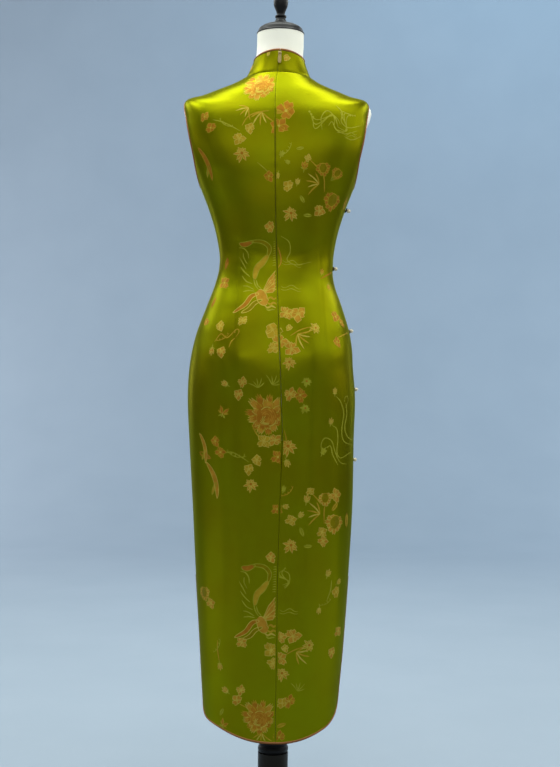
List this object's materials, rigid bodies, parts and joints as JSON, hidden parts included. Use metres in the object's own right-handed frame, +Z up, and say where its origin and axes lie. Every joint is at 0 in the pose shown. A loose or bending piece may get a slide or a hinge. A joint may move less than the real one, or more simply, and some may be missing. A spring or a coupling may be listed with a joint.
{
  "type": "cheongsam dress on limbless dress form with stand",
  "caption": "Sleeveless ankle-length brocade cheongsam with stand collar, back zip and side slits, on a limbless dress form with a turned wooden stand.",
  "frame": {"origin": "centre of the round base's flat underside, on the floor", "axes": "+Z up; the garment's back faces +Y and its front -Y; +X is the wearer's left"},
  "size_m": [0.381, 0.38, 1.6433],
  "materials": {
    "lime_brocade": "satin-ground brocade with a woven floral pattern",
    "copper_binding": "copper satin bias binding",
    "dark_cord": "rolled dark satin cord",
    "pearl": "cream imitation pearl",
    "zip_tape": "woven tape with a nylon coil",
    "zip_metal": "pale gold plated",
    "form_jersey": "white stretched jersey",
    "black_wood": "black gloss lacquer on turned wood",
    "column_wood": "black-brown satin stain"
  },
  "bodies": {
    "dress_on_form": {"back_left": "lime_brocade", "back_right": "lime_brocade", "binding_armhole_left": "copper_binding", "binding_armhole_right": "copper_binding", "binding_collar_left": "copper_binding", "binding_collar_right": "copper_binding", "binding_front_edge": "copper_binding", "binding_hem_back": "copper_binding", "binding_hem_front": "copper_binding", "collar_left": "lime_brocade", "collar_right": "lime_brocade", "dress_form": "form_jersey", "finial": "black_wood", "front": "lime_brocade", "front_right_shoulder": "lime_brocade", "loop_front_1": "dark_cord", "loop_front_2": "dark_cord", "loop_side_1": "dark_cord", "loop_side_2": "dark_cord", "loop_side_3": "dark_cord", "loop_side_4": "dark_cord", "loop_side_5": "dark_cord", "neck_cap": "black_wood", "pearl_front_1": "pearl", "pearl_front_2": "pearl", "pearl_side_1": "pearl", "pearl_side_2": "pearl", "pearl_side_3": "pearl", "pearl_side_4": "pearl", "pearl_side_5": "pearl", "stand_base": "black_wood", "stand_column": "column_wood", "stand_pole": "black_wood", "stand_ring": "black_wood", "zip_slider": "zip_metal", "zip_tape": "zip_tape"},
    "pull_tab": {"zip_pull": "zip_metal"}
  },
  "joints": [
    {"name": "pull_tab_hinge", "type": "hinge", "parent": "dress_on_form", "child": "pull_tab", "pos_m": [0.00089, 0.05672, 1.50743], "axis": [0.9998, -0.0033, 0.022], "range_deg": [0, 150]}
  ]
}
